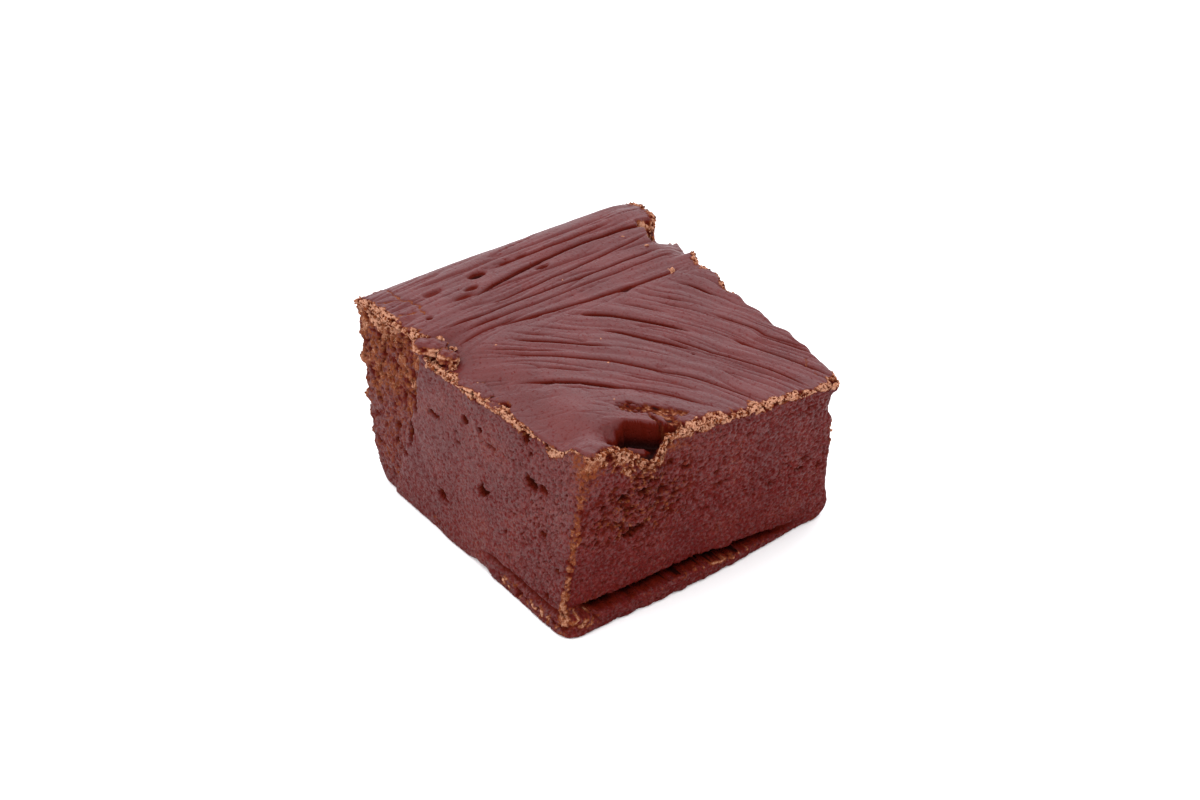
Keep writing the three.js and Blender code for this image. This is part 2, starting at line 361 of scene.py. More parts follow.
def strokeHeight(x, y):
    # ridges less grooves, straight on the left, round the centre on the right, faint on the smear; with the
    # depth in the grooves and dents, raised in the deepest, as a mask for the shade painted in them
    x, y = x - skinShift[0], y - skinShift[1]
    onLeft = 1 - ramp(-2.2, 2.2, x - straightStrokes["edge"] + 0.6 * wave(21, x / 5, y / 5))
    bowed = x + 0.05 * y - 0.0012 * y ** 2
    straight, grooved = ridges(bowed + 0.25 * wave(22, x / 6, y / 9), y, straightStrokes["ridges"], 30)
    for x0, slope, bow, start, end, depth, width in straightStrokes["grooves"]:
        line = x0 + slope * y + bow * y ** 2 + 0.18 * wave(23, y / 4, 0, x0)
        grooved = np.maximum(grooved, groove(x - line, y, start, end, 2.4, depth, width))
    radius, angle = arcPlace(x, y)
    radius = radius + 0.35 * wave(24, x / 6, y / 6)
    arcs, carved = ridges(radius, np.radians(angle) * 28, arcStrokes["ridges"], 40)
    for middle, start, end, depth, width in arcStrokes["grooves"]:
        line = middle + 0.2 * wave(25, angle / 12, 0, middle)
        carved = np.maximum(carved, groove(radius - line, angle, start, end, 110 / middle, depth, width))
    edge = 0.8 * wave(26, x / 2.2, y / 2.2) + 0.4 * wave(27, x / 0.8, y / 0.8)
    outside = ramp(arcStrokes["inner"] - 0.5, arcStrokes["inner"] + 1.3, radius + edge)
    smeared = 0.35 + 0.06 * wave(28, x / 4, y / 2)
    arcs = mixed(smeared, arcs, outside)
    carved = carved * mixed(0.55, 1, outside)
    depth = mixed(carved, grooved, onLeft)
    for x0, y0, width, length, deep in dents:
        ragged = 0.25 * wave(29, x / 0.8, y / 1.5)
        depth = np.maximum(depth, deep * bell((np.hypot((x - x0) / width, (y - y0) / length) + ragged) ** 2))
    # the second value is painted shade in the grooves and dents, raised by half of what passes 0.25 so that
    # the deepest turn near black
    return mixed(arcs, straight, onLeft) - depth, depth + 0.5 * np.maximum(depth - 0.25, 0)


def bitten(x, y):
    # 1 in the piece broken out of the back rim, with a ragged edge
    ragged = 0.5 * wave(51, x / 1.6, y / 1.6) + 0.25 * wave(52, x / 0.6, y / 0.6)
    across = ramp(-1.0, 0.6, x - bite["from"] + ragged * 0.6) * ramp(0.8, -0.8, x - bite["to"] + ragged)
    return across * ramp(-0.3, 0.3, y - bite["edge"] + ragged)


def hollowed(x, y):
    # the hollow's depth, by the distances in front of its wall and beside the smear's flank; the height of
    # the fold in it; and the shade painted in it, most where it is deepest, less towards the flank and on
    # the fold
    wall, flank = math.radians(hollow["wallTurn"]), math.radians(hollow["flankTurn"])
    wobble = 0.28 * wave(61, x / 1.5, y / 1.5) + 0.12 * wave(62, x / 0.6, y / 0.6)
    awayX = x - hollow["x"] + wobble
    awayY = y - hollow["y"] + wobble + 0.7 * wave(63, x / 2.6, y / 2.6)
    front = awayX * math.sin(wall) - awayY * math.cos(wall)
    beside = -awayX * math.sin(flank) + awayY * math.cos(flank)
    shoulder = 1 - np.sqrt(1 - held((beside + 2.9) / 3.5) ** 2)
    sunk = ramp(-0.25, 0.35 + 2.8 * (1 - shoulder), front) * (1 - ramp(3.0, 6.2, front)) * shoulder
    sunk = sunk * (1 - ramp(22.0, 24.6, x) * ramp(-9.9, -7.4, y + 2 * wobble))
    fold = bell((front - hollow["foldAway"]) / 0.5)
    fold = fold * between(beside, hollow["foldFrom"], hollow["foldTo"], 0.4)
    # painted shade: the hollow's walls and floor turn deep red to near black, for the shadow inside it
    paintedShade = mixed(0.42, 0.95, ramp(0.4, 0.98, sunk)) * ramp(0.01, 0.1, sunk)
    paintedShade = paintedShade * ramp(-0.5, 0.6, beside + 2 * wobble)
    return hollow["depth"] * sunk, hollow["fold"] * fold, paintedShade * (1 - held(1.6 * fold))


def skinHeight(a, b):
    # the corners' plane, plus strokes and the smear's mound, less the hollow, what the rims fall by and the
    # bite; with the depth in the grooves, or the hollow's painted shade where that is more, as a mask of
    # painted shade
    place = bilinear(block["topCorners"], a, b)
    x, y, plane = place[..., 0], place[..., 1], place[..., 2]
    fromLeft, fromFront, fromBack = ((1 + side) * block["halfSide"] for side in (a, b, -b))
    strokes, depth = strokeHeight(x, y)
    raised = bell(np.hypot((x - mound["x"]) / mound["radiusX"], (y - mound["y"]) / mound["radiusY"]))
    falling = rim["leftDrop"] * bell(fromLeft / rim["leftWidth"])
    falling = falling + rim["backLeftDrop"] * bell(fromBack / 3) * (1 - ramp(-17, -13, x))
    falling = falling + rim["backDip"] * bell(fromBack / 2.6) * between(x, rim["dipFrom"], rim["dipTo"], 1.1)
    sagging = between(x, rim["sagFrom"], rim["sagTo"], 2) * bell(fromFront / rim["sagWidth"])
    falling = falling + rim["sag"] * sagging
    sunk, fold, paintedShade = hollowed(x, y)
    torn = bitten(x, y)
    calm = (1 - 0.85 * held(sunk)) * (1 - torn)
    height = plane + block["lift"] + strokes * calm + mound["height"] * raised - sunk + fold
    return height - falling - bite["drop"] * torn, np.maximum(depth * calm, paintedShade)


# How far the crumbs of each rim reach, in from the rim on the skin and down from it on the face.
rimCrumbs = {
    "front": {
        "axis": 0, "at": (-24, -15, -11, -8, -3, 0, 3, 6.5, 9, 12, 15, 17.5, 20, 23),
        "inward": (1, 1.5, 2, 1.6, 1.1, 2.4, 0.8, 1.9, 0.7, 0.5, 0.15, 0.3, 0.2, 0.2),
        "down": (3, 2.8, 1.3, 0.6, 0.5, 0.7, 0.6, 0.7, 0.5, 1.7, 0.2, 2, 0.5, 0.3),
    },
    "right": {
        "axis": 1, "at": (-21, -19, -17.6, -16, -13, -10, -8, -5, -1, 2, 6, 9, 12, 16, 20),
        "inward": (0.15, 0.3, 1.3, 1.3, 0.9, 0.9, 1.2, 1.7, 1.9, 1.2, 1.7, 1.4, 0.8, 0.9, 1.2),
        "down": (0.3, 0.4, 2.2, 3.2, 3.6, 2.6, 2.4, 1.5, 0.9, 0.5, 0.8, 0.6, 0.4, 0.4, 0.7),
    },
    "back": {
        "axis": 0, "at": (-23, -18, -16.5, -13, -12, -8, -7, -4, -3, 0, 3, 4, 22, 25),
        "inward": (1, 0.9, 2.2, 1.6, 0.2, 0.2, 1.5, 1.4, 0.3, 1.3, 1.2, 0.1, 0.1, 0.9),
        "down": (1, 1.2, 3.2, 3, 0.8, 0.6, 1.2, 1.2, 0.6, 1, 0.9, 0.3, 0.3, 0.8),
    },
    "left": {
        "axis": 1, "at": (-22, -19, -16, 18, 22),
        "inward": (1.2, 0.8, 0.12, 0.12, 0.8),
        "down": (1.5, 1, 0.3, 0.3, 1),
    },
}


def crumbBand(place, weights, way):
    # the rims' reaches in one way, inward or down, weighed by the side that each point belongs to
    total = 0
    for weight, side in zip(weights, rimCrumbs.values()):
        total = total + weight * np.interp(place[..., side["axis"]], side["at"], side[way])
    return total


def crumbMask(place, fromRim, reach):
    # 1 at the rim and 0 past the reach, with a ragged border
    ragged = grains(place, (1.5, 0.5, 71), (0.5, 0.35, 72), (3.4, 0.4, 77)) + 0.05
    return (1 - ramp(0.55, 1.1, fromRim / np.maximum(reach, 0.05) + ragged)) * ramp(0.1, 0.5, reach)


def crumbRelief(place):
    # lumps of two sizes, high at strewn middles, and two noises, less holes where another noise is high
    big, _ = nearestSeed(place / 1.15, 81)
    small, smallGap = nearestSeed(place / 0.5, 82)
    holes = ramp(0.1, 0.5, noise(place / 0.8, 83))
    lumps = 0.28 * (0.55 - big) + 0.38 * (0.55 - small) + grains(place, (0.36, 0.1, 84), (1.9, 0.2, 85))
    return lumps - 0.12 * (1 - ramp(0, 0.25, smallGap)) - 0.42 * holes + 0.02


def unevenness(place):
    # slow waves in any face
    return grains(place, (7, 0.13, 91), (2.4, 0.05, 92))


def skinSurface(a, b):
    # over the square's raw (a, b), the skin's height, bent down at the rim in a quarter round; gives points,
    # their directions and the crumb, hollow and smear masks, of which the crumb mask also paints highlights
    # on the lumps' tops and the rim's edge and the hollow mask is painted shade
    half = block["halfSide"]
    reach = squareReach(a, b)
    edgeA, edgeB = roundCorners(a / reach, b / reach)
    nx, ny, weights = outwardWeights(edgeA, edgeB)
    radius = sum(weight * size for weight, size in zip(weights, block["rimRound"]))
    fromRim = (1 - reach) * half
    turn = held(fromRim / radius) * math.pi / 2
    inset = np.where(fromRim < radius, radius * (1 - np.cos(turn)), fromRim)
    fall = radius * (1 - np.sin(turn))
    share = (1 - inset / half) / reach
    innerA, innerB = roundCorners(a * share, b * share)
    edgeTop, _ = skinHeight(edgeA, edgeB)
    edgePlace = sidePlace(edgeA, edgeB, edgeTop - radius, edgeTop)
    drawn = edgePlace[..., :2] - bilinear(block["topCorners"], edgeA, edgeB)[..., :2]
    pull = (1 - inset / half) ** block["rimPull"]
    flatPlace = bilinear(block["topCorners"], innerA, innerB)[..., :2] + drawn * pull[..., None]
    top, depth = skinHeight(innerA, innerB)
    place = flat(flatPlace[..., 0], flatPlace[..., 1], top - fall)
    direction = flat(nx * np.cos(turn), ny * np.cos(turn), np.sin(turn))
    x, y = place[..., 0], place[..., 1]
    band = crumbMask(place, fromRim, crumbBand(edgePlace, weights, "inward"))
    inBite = bitten(x, y)
    band = np.maximum(band, ramp(0.02, 0.3, inBite))
    x, y = x - skinShift[0], y - skinShift[1]
    radius, angle = arcPlace(x, y)
    ragged = 0.8 * wave(73, radius / 0.4, angle / 6) + 0.3 * noise(place / 0.45, 74)
    torn = np.max([1 - ramp(0.6, 1.1, fromLine(x, y, line) + ragged) for line in tears], axis=0)
    wobble = 0.45 * wave(75, x / 1.3, y / 1.3) + 0.15 * wave(76, x / 0.5, y / 0.5)
    cracked = np.max([bell(fromLine(x + wobble, y + wobble, line)) for line in cracks], axis=0)
    lumps = crumbRelief(place)
    relief = lumps * band + unevenness(place) * (1 - ramp(0, 3, fromRim))
    relief = relief - 0.42 * torn - 0.18 * cracked
    place = place + direction * relief[..., None]
    # crumb where the band is, raised on the lumps' tops and at the rim's edge, where its tan is painted
    # highlight
    crumbs = band * held(0.74 + 1.6 * lumps + 0.2 * bell(fromRim / 0.6)) * (1 - 0.25 * inBite)
    crumbs = np.maximum(np.maximum(crumbs, 0.5 * cracked), torn * held(0.42 + 0.6 * lumps))
    # the hollow mask: painted shade in the torn patch and between the crumbs' lumps, and the strokes'
    # painted shade outside the band
    depth = np.maximum(depth * (1 - band), torn * held(0.4 - 0.9 * lumps))
    depth = np.maximum(depth, band * held(-1.3 * lumps))
    return place, direction, crumbs, depth, np.ones_like(x)


# What the knife left on the cut faces. A hole is its place along and up, half width, half height and depth.
cutFaces = {
    "frontHoles": (
        (-11.5, 17.5, 0.55, 1.1, 0.8), (-12.8, 12.5, 0.65, 1.8, 1), (-14.3, 8.5, 0.55, 0.5, 0.6),
        (-7.3, 18.1, 1.2, 0.45, 0.7), (-0.4, 20.6, 0.65, 0.65, 0.9), (2.8, 20.6, 0.55, 0.35, 0.6),
        (5, 19.2, 1.5, 0.28, 0.35), (-2.3, 17.9, 0.4, 0.22, 0.4), (-1.8, 16.4, 0.55, 0.22, 0.45),
        (3.9, 11.9, 0.95, 0.9, 1.4), (11.9, 23.9, 0.65, 0.95, 1.3), (13.6, 18.2, 1.15, 0.85, 1.3),
        (16, 18.4, 0.95, 0.5, 0.7), (16.8, 12.3, 0.75, 0.38, 0.55), (-5.4, 6.5, 0.85, 0.85, 0.9),
        (-4.2, 5.9, 0.5, 0.32, 0.5), (18.7, 4.2, 0.7, 0.5, 0.6), (-18.4, 22.3, 0.7, 0.9, 0.8),
        (-16.2, 11.6, 0.6, 0.65, 0.55), (-16.8, 9, 0.6, 0.45, 0.6), (-21.6, 6.6, 0.5, 0.65, 0.6),
        (13.2, 22.3, 0.35, 0.35, 0.5), (-14.6, 24.4, 0.4, 0.5, 0.5), (9.2, 8.6, 0.3, 0.3, 0.35),
        (-19.6, 18.6, 0.5, 0.6, 0.6), (-20.4, 13.8, 0.5, 0.7, 0.6), (20.4, 8.9, 0.5, 0.4, 0.5),
    ),
    "rightHoles": (
        (-12.7, 12.4, 0.95, 0.7, 1.5), (-11.2, 12.7, 0.9, 0.55, 0.9), (-7, 21.3, 0.55, 0.55, 0.6),
        (0.7, 16.4, 0.45, 0.28, 0.5), (1.8, 14.3, 1, 0.28, 0.4), (-4.5, 19.4, 1.1, 0.28, 0.45),
        (15.2, 21.3, 0.6, 0.25, 0.4), (15.6, 12.5, 0.45, 0.3, 0.45), (15, 11, 0.7, 0.26, 0.5),
        (10.2, 10.6, 0.6, 0.26, 0.4), (18.6, 10.2, 0.9, 0.24, 0.4), (5.4, 20.8, 0.6, 0.24, 0.35),
        (-14.2, 18.6, 0.6, 0.5, 0.7), (-11, 18.4, 1.1, 0.5, 0.8), (-17.2, 18.1, 0.7, 0.4, 0.6),
        (-8.2, 17.6, 0.9, 0.4, 0.6), (-15.8, 14.6, 0.8, 0.35, 0.5), (-6, 15.9, 0.7, 0.35, 0.5),
    ),
    "creaseHeights": (0, 5, 8.5, 12.5, 18, 25, 30),  # torn to the left of a crease, which runs up the front
    "creaseX": (-17.5, -15.9, -14.6, -13.1, -11.7, -9.9, -9),
    "creaseStep": 0.4,
    "teeth": ((22.6, 0.4), (18.1, 1.2), (15, 0.5), (12.4, 1.1), (9.8, 0.7), (6.8, 0.7), (4.8, 0.4)),
}


def holesIn(along, z, holes, place, seed):
    # the deepest hole at each point: steep sides and a round floor inside a ragged ellipse
    ragged = grains(place, (0.6, 0.5, seed), (0.3, 0.3, seed + 1))
    return np.max([
        deep * (1 - ramp(0.55, 1.15, np.hypot((along - middle) / width, (z - height) / tall) + ragged))
        for middle, height, width, tall, deep in holes
    ], axis=0)


def pitsIn(place, sizeAlong, sizeUp, seed, level):
    # one where a noise, stretched along the face, rises past a level
    return ramp(level, level + 0.28, noise(place / (sizeAlong, sizeAlong, sizeUp), seed))


def edgeCrumbs(a, b, cornerA, cornerB, width, z, low, high, seed):
    # a ragged upright band of crumbs along one corner of the square
    away = fromCorner(a, b, cornerA, cornerB)
    ragged = 0.5 * wave(seed, z / 2.2, away / 3) + 0.35 * wave(seed + 1, z / 0.7, away / 0.9)
    return (1 - ramp(0.4, 1.1, away / width + ragged)) * between(z, low, high, 0.8)


def sideSurface(rawA, rawB, share):
    # round the outline and up by a share of the rim's height, pushed out or in by what the knife and the
    # floor left there; gives what skinSurface gives
    a, b = roundCorners(rawA, rawB)
    nx, ny, weights = outwardWeights(a, b)
    front, right, back, left = weights
    plain = back + left
    top, _ = skinHeight(a, b)
    wall = top - sum(weight * size for weight, size in zip(weights, block["rimRound"]))
    z = wall * share
    place = sidePlace(a, b, z, top)
    direction = flat(nx, ny)
    x, y = place[..., 0], place[..., 1]
    fromRim = wall - z
    topPlace = sidePlace(a, b, top, top)
    under = crumbMask(place, fromRim, crumbBand(topPlace, weights, "down"))
    blendIn = ramp(0, 0.5, fromRim)

    # the torn part left of the crease, coarse above and finer below
    crease = np.interp(z, cutFaces["creaseHeights"], cutFaces["creaseX"])
    crease = crease + 0.7 * wave(101, z / 3) + 0.3 * wave(102, z / 0.9, x / 2)
    tornLeft = ramp(-0.25, 0.35, crease - x) * front
    tornCorner = held(tornLeft + left * ramp(-14, -19, y))
    coarse = tornCorner * mixed(0.32, 0.68, ramp(11, 19, z))
    mottled = grains(place, (2.4, 1, 103), ((0.5, 0.5, 0.8), 0.5, 109))
    coarse = coarse * mixed(0.6, 1, ramp(-0.6, 0.6, mottled)) * ramp(1, 3, z)

    # crumbs up the front right edge, the far right one and down by the floor
    corner = edgeCrumbs(rawA, rawB, 1, -1, 1, z, 0.5, 25, 104) * mixed(0.68, 0.5, ramp(8, 20, z))
    farCorner = edgeCrumbs(rawA, rawB, 1, 1, 0.7, z, 9.5, 22, 106)
    farCorner = farCorner * ramp(-0.2, 0.1, wave(108, z / 1.7))
    backCorner = edgeCrumbs(rawA, rawB, -1, 1, 0.6, z, 6, 26, 110) * 0.4
    reach, height = lipAt(y)
    aboveLip = z - height
    lipEdge = bell((aboveLip + 0.3) / 0.3) * right
    lipEdge = lipEdge * ramp(-0.1, 0.4, noise(place / 0.8, 112) + 0.8 * between(y, 0.3, 4.5, 0.6) - 0.1)
    lipClump = between(y, -23.5, -18.2, 0.6) * between(z, 1.2, 3.9, 0.5) * right
    lipClump = lipClump * ramp(-0.2, 0.4, noise(place / 0.8, 113) + 0.15)
    frontFloor = between(x, -9, -4, 1) * 0.7 + between(x, 8, 22.5, 1)
    frontFloor = frontFloor * bell((z - 1.3) / 0.75) * front * ramp(-0.15, 0.35, noise(place / 0.8, 114))
    crumbs = under
    for extra in (coarse, corner, farCorner, backCorner, 0.7 * lipEdge, 0.8 * lipClump, frontFloor):
        crumbs = np.maximum(crumbs, held(extra))

    # pits: coarse and streaked along the right face's near half, fine ones elsewhere
    patchy = ramp(-0.45, 0.35, wave(119, y / 2.6, z / 1.3, x / 3))
    farEdge = bell(fromCorner(rawA, rawB, 1, 1) / 2.5) * between(fromRim, 1.4, 5, 0.9)
    rightCoarse = bell(np.hypot((y + 11) / 9.5, (z - 16.4) / 6) ** 2) * mixed(0.4, 1, patchy) * right
    rightLine = between(y, -2, 20, 2) * bell((z - 11.4) / 1.3) * right
    rightLine = rightLine + 0.6 * between(y, -22, -14, 1) * bell((z - 13.4) / 0.5) * right
    frontFine = mixed(0.25, 1, ramp(4, 14, x)) * front
    density = held(rightCoarse + 0.8 * rightLine + 0.5 * right + 0.6 * frontFine + 0.42 * plain)
    coarsePits = 0.5 * pitsIn(place, 0.8, 0.38, 120, 0.08)
    coarsePits = coarsePits * held(rightCoarse + 0.245 * plain + 0.3 * coarse)
    leftPits = 0.55 * pitsIn(place, 0.5, 0.75, 123, 0.22) * held(1.8 * coarse)
    coarsePits = np.maximum(coarsePits, leftPits)
    smallPits = 0.28 * pitsIn(place, 0.6, 0.36, 121, 0.22) * density
    finePits = 0.15 * pitsIn(place, 0.42, 0.32, 122, 0.2) * held(0.45 + density)
    holes = holesIn(x, z, cutFaces["frontHoles"], place, 124) * front
    holes = np.maximum(holes, holesIn(y, z, cutFaces["rightHoles"], place, 126) * right)
    rareHoles = ramp(0.52, 0.75, noise(place / (2.6, 2.6, 1.5), 128)) * 0.8 * plain
    holes = np.maximum(holes, rareHoles * ramp(3, 5, z))

    # the knife's drag: level streaks on the right face, faint slanting ones on the front
    streaks = 0.07 * wave(130, y / 9, z / 0.55, x / 9) * right * ramp(4, 7, z)
    slanted = 0.06 * wave(131, (x + 0.5 * z) / 1.3, (z - 0.5 * x) / 9, y / 9) * front
    moulded = 0.1 * wave(132, x / 3, y / 3, z / 1.2) * plain

    lumps = crumbRelief(place)
    relief = unevenness(place) + lumps * crumbs * mixed(1, 0.6, coarse)
    cut = streaks + slanted + moulded - cutFaces["creaseStep"] * tornLeft
    frontGroove = 0.6 * bell((z - 2.9 - 0.2 * wave(133, x / 2)) / 0.4) * between(x, 5, 23, 1.5) * front
    cut = cut - np.maximum(coarsePits, smallPits) - finePits - holes - frontGroove - 0.9 * farEdge
    relief = relief + cut * blendIn + 0.22 * held(1.6 * corner)
    place = place + direction * relief[..., None]

    # teeth left by the tear at the front left edge: each slopes out on its way down and is cut off below
    tooth = np.zeros_like(z)
    for height, size in cutFaces["teeth"]:
        away = z - height + 0.3 * wave(134, height, y / 1.5, x / 1.5)
        tooth = np.maximum(tooth, size * np.where(away > 0, bell(away / 1.35), bell(away / 0.38)))
    nearCorner = bell(fromCorner(rawA, rawB, -1, -1) / 1.6)
    place = place + flat(-1, -0.15) * (tooth * nearCorner)[..., None]
    # painted shade in holes, pits, the groove by the floor and between the crumbs' lumps
    depth = held(0.7 * holes + 1.1 * coarsePits + 1.2 * smallPits + 1.2 * finePits + 0.5 * frontGroove)
    depth = np.maximum(depth * (1 - 0.6 * crumbs), crumbs * held(-1.3 * lumps))
    crumbs = np.maximum(crumbs, 0.8 * nearCorner * held(tooth))
    # crumb raised on the lumps' tops and at the rim's edge, where its tan is painted highlight
    crumbs = crumbs * held(0.76 + mixed(1.6, 0.7, coarse) * lumps + 0.2 * bell(fromRim / 0.6))
    crumbs = crumbs * (1 - 0.15 * right * ramp(-6, -9, y))
    broken = ramp(0.2, 0.9, rightCoarse) * ramp(-0.05, 0.4, noise(place / (0.6, 0.6, 0.36), 135))
    crumbs = np.maximum(crumbs, np.maximum(0.48 * broken, 0.4 * held(holes)))
    # painted shade in the slit over the lip: the hollow mask turns it near black
    slit = slitOpen(reach, y) * between(aboveLip, 0.02, 0.82, 0.1) * right
    stain = bell(fromCorner(rawA, rawB, 1, -1) / 3) * ramp(18.5, 25, z)
    stain = stain + 0.7 * bell((y + 6.5) / 2.6) * bell((fromRim - 2) / 1.2) * right
    stain = stain * (0.8 + 0.5 * noise(place / 0.9, 136))
    crumbs = np.maximum(crumbs * (1 - slit), mixed(0.44, 0.66, ramp(22.5, 25.5, z)) * held(stain))
    depth = np.maximum(depth, slit)
    smear = front * mixed(0.42, 0.66, ramp(4, 18, z)) + right * mixed(0.1, 0.36, ramp(3, 20, z))
    return place, direction, crumbs, depth, smear + 0.5 * plain


def outlineRaw(counts):
    # the square's outline anticlockwise from its front left corner
    steps = [np.arange(count) / count * 2 - 1 for count in counts]
    one = [np.ones(count) for count in counts]
    a = np.concatenate([steps[0], one[1], -steps[2], -one[3]])
    b = np.concatenate([-one[0], steps[1], one[2], -steps[3]])
    return a, b


# The block's plain box, from a few of its outlines, is laid over the CAD model's box.
plainA, plainB = roundCorners(*outlineRaw([46] * 4))
plainTop = bilinear(block["topCorners"], plainA, plainB)[..., 2]
plainPoints = np.concatenate([
    sidePlace(plainA, plainB, np.minimum(height, plainTop), plainTop) for height in (0, 0.5, 1, 2, 99)
])
plainMiddle = (plainPoints.min(axis=0) + plainPoints.max(axis=0)) / 2
plainMiddle[2] = 0
cadMiddle = np.array([(cadLow[0] + cadHigh[0]) / 2, (cadLow[1] + cadHigh[1]) / 2, cadLow[2]])


def intoFrame(points):
    # millimetres in the block's own place, moved to the CAD model's place, in metres
    return (points - plainMiddle) * mm + cadMiddle


def linked(name, data):
    # a new object in the scene
    thing = bpy.data.objects.new(name, data)
    bpy.context.scene.collection.objects.link(thing)
    return thing


def makePiece(name, points, faceGroups, masks, finish):
    # a mesh from points and groups of faces, each an array of corner numbers and whether it is smooth
    mesh = bpy.data.meshes.new(name)
    placed = intoFrame(points).astype(np.float32)
    loops = np.concatenate([faces.ravel() for faces, _ in faceGroups]).astype(np.int32)
    sizes = np.concatenate([np.full(len(faces), faces.shape[1]) for faces, _ in faceGroups]).astype(np.int32)
    smooth = np.concatenate([np.full(len(faces), isSmooth) for faces, isSmooth in faceGroups])
    starts = (np.cumsum(sizes) - sizes).astype(np.int32)
    for part, count, fields in (
        (mesh.vertices, len(placed), {"co": placed.ravel()}),
        (mesh.loops, len(loops), {"vertex_index": loops}),
        (mesh.polygons, len(sizes), {"loop_start": starts, "loop_total": sizes, "use_smooth": smooth}),
    ):
        part.add(count)
        for field, values in fields.items():
            part.foreach_set(field, values)
    for mask, values in masks.items():
        mesh.attributes.new(mask, "FLOAT", "POINT").data.foreach_set("value", values.astype(np.float32))
    mesh.update()
    mesh.validate()
    mesh.materials.append(finish)
    print(name, len(placed), "points", int(np.sum(sizes - 2)), "triangles")
    return linked(name, mesh)


def ringFaces(lower, upper):
    # quads between two closed rings of point numbers, facing out where they run anticlockwise and upwards
    return np.stack([lower, np.roll(lower, -1), np.roll(upper, -1), upper], axis=1)


def fanFaces(ring, middle, up):
    # triangles from a ring to one middle point
    onward = np.roll(ring, -1)
    order = [ring, onward] if up else [onward, ring]
    return np.stack([*order, np.full_like(ring, middle)], axis=1)


def closeInside(points, ring, steps, up):
    # closes a surface out of sight by smaller rings and a middle point; each ring is the first one drawn in
    # to a share, its heights scaled and lifted
    middle = points[ring].mean(axis=0)
    added, groups, outer = [], [], ring
    for step, (share, scale, lift) in enumerate(steps):
        inner = mixed(middle, points[ring], share)
        inner[:, 2] = points[ring, 2] * scale + lift
        added.append(inner)
        numbers = len(points) + step * len(ring) + np.arange(len(ring))
        groups.append((ringFaces(outer, numbers) if up else ringFaces(numbers, outer), False))
        outer = numbers
    added.append([[middle[0], middle[1], inner[0, 2]]])
    groups.append((fanFaces(outer, outer[-1] + 1, up), False))
    return np.concatenate(added), groups


fineness = {
    "skinCells": 296,  # along each side of the skin
    "sideColumns": (246, 230, 126, 126),  # round the front, right, back and left
    "sideRows": ((0, 4.2, 26), (4.2, 22.4, 79), (22.4, 26, 21)),  # from, to (the rim is at 26) and rows
    # how each opening is closed inside: each ring's share of the way out, scale of heights and lift
    "underSkin": ((0.97, 1, -0.7), (0.6, 0, 15)),
    "lid": ((0.965, 1, -0.9), (0.6, 0, 14)),
    "base": ((0.9, 0, 0), (0.5, 0, 0)),
}


def namedMasks(masks, hiddenCount):
    # the three masks, 0 for the points that close a piece inside
    return {name: np.pad(mask, (0, hiddenCount)) for name, mask in zip(("crumb", "hollow", "smear"), masks)}


def makeSkin(finish):
    # the skin over a square grid, closed by an underside that the block hides
    cells = fineness["skinCells"]
    line = np.linspace(-1, 1, cells + 1)
    line[cells // 2] = 1e-6  # a hair off the middle, which has no bearing
    a, b = np.meshgrid(line, line, indexing="ij")
    points, _, *masks = skinSurface(a.ravel(), b.ravel())
    number = np.arange(a.size).reshape(a.shape)
    quads = np.stack([number[:-1, :-1], number[1:, :-1], number[1:, 1:], number[:-1, 1:]], axis=-1)
    loop = np.concatenate([number[:-1, 0], number[-1, :-1], number[:0:-1, -1], number[0, :0:-1]])
    inner, hidden = closeInside(points, loop, fineness["underSkin"], up=False)
    masks = namedMasks(masks, len(inner))
    faces = [(quads.reshape(-1, 4), True)] + hidden
    return makePiece("fudgeSkin", np.concatenate([points, inner]), faces, masks, finish)


def makeBlock(finish):
    # the four sides as rings from the floor to the rim, with the base and a lid hidden under the skin
    outlineA, outlineB = outlineRaw(fineness["sideColumns"])
    columns = len(outlineA)
    rows = [np.linspace(start, end, count, endpoint=False) for start, end, count in fineness["sideRows"]]
    shares = np.append(np.concatenate(rows), 26.0) / 26.0
    a = np.tile(outlineA, len(shares))
    b = np.tile(outlineB, len(shares))
    points, _, *masks = sideSurface(a, b, np.repeat(shares, columns))
    number = np.arange(len(points)).reshape(len(shares), columns)
    quads = [ringFaces(number[row], number[row + 1]) for row in range(len(shares) - 1)]
    points[number[0], 2] = 0
    lid, lidFaces = closeInside(points, number[-1], fineness["lid"], up=True)
    whole = np.concatenate([points, lid])
    base, baseFaces = closeInside(whole, number[0], fineness["base"], up=False)
    faces = [(np.concatenate(quads), True)] + lidFaces + baseFaces
    masks = namedMasks(masks, len(lid) + len(base))
    return makePiece("fudgeBlock", np.concatenate([whole, base]), faces, masks, finish)


def turned(shapes, random):
    # each shape turned at random by a unit quaternion (w, q): v + 2w(q x v) + 2q x (q x v)
    turns = random.normal(size=(len(shapes), 1, 4))
    turns /= np.linalg.norm(turns, axis=-1, keepdims=True)
    across = 2 * np.cross(turns[..., 1:], shapes)
    return shapes + turns[..., :1] * across + np.cross(turns[..., 1:], across)


def nugget():
    # an icosahedron: the corners of three golden rectangles, with a triangle on each three that lie 2 apart
    golden = (1 + math.sqrt(5)) / 2
    corners = [(0, u, v * golden) for u in (-1, 1) for v in (-1, 1)]
    points = np.array([np.roll(corner, axis) for axis in range(3) for corner in corners])
    faces = []
    for triple in combinations(range(len(points)), 3):
        p, q, r = points[list(triple)]
        if max(np.linalg.norm(p - q), np.linalg.norm(q - r), np.linalg.norm(r - p)) < 2.1:
            faces.append(triple if np.dot(np.cross(q - p, r - p), p) > 0 else triple[::-1])
    return points / np.linalg.norm(points[0]), np.array(faces)


